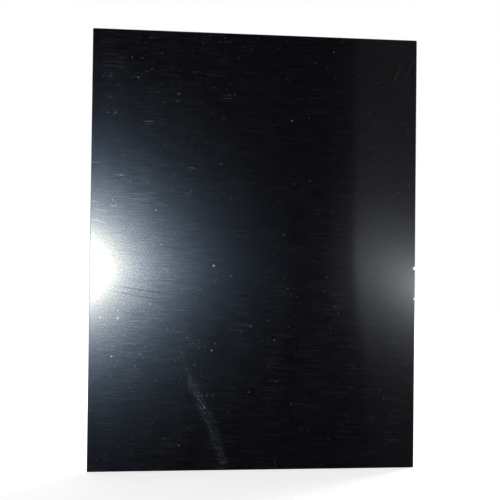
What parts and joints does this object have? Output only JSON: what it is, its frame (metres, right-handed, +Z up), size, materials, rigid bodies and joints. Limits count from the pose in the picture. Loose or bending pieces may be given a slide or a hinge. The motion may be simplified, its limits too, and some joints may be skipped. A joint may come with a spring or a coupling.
{
  "type": "kick plate",
  "caption": "Flat rectangular gloss black plastic kick plate with square corners and no screw holes, held on a door by strips of foam tape on its back that carry release liners.",
  "frame": {"origin": "centre of the plane that meets the door: the outer face of the release liners, on the middle cross strip", "axes": "+Z up along the plate's long side, +X to the right seen from the front, +Y out of the back towards the door; the kicked face looks along -Y"},
  "size_m": [0.3048, 0.0044, 0.4064],
  "materials": {
    "gloss_black_sheet": "gloss, hazed by fine level wiping scratches; sawn satin edges and a matt back",
    "foam_tape": "matt closed-cell foam",
    "release_liner": "thin glossy red plastic film"
  },
  "bodies": {
    "root": {"face_plate": "gloss_black_sheet", "tape_left": "foam_tape", "tape_right": "foam_tape", "tape_top": "foam_tape", "tape_upper": "foam_tape", "tape_middle": "foam_tape", "tape_lower": "foam_tape", "tape_bottom": "foam_tape", "liner_left": "release_liner", "liner_right": "release_liner", "liner_top": "release_liner", "liner_upper": "release_liner", "liner_middle": "release_liner", "liner_lower": "release_liner", "liner_bottom": "release_liner"}
  },
  "joints": []
}
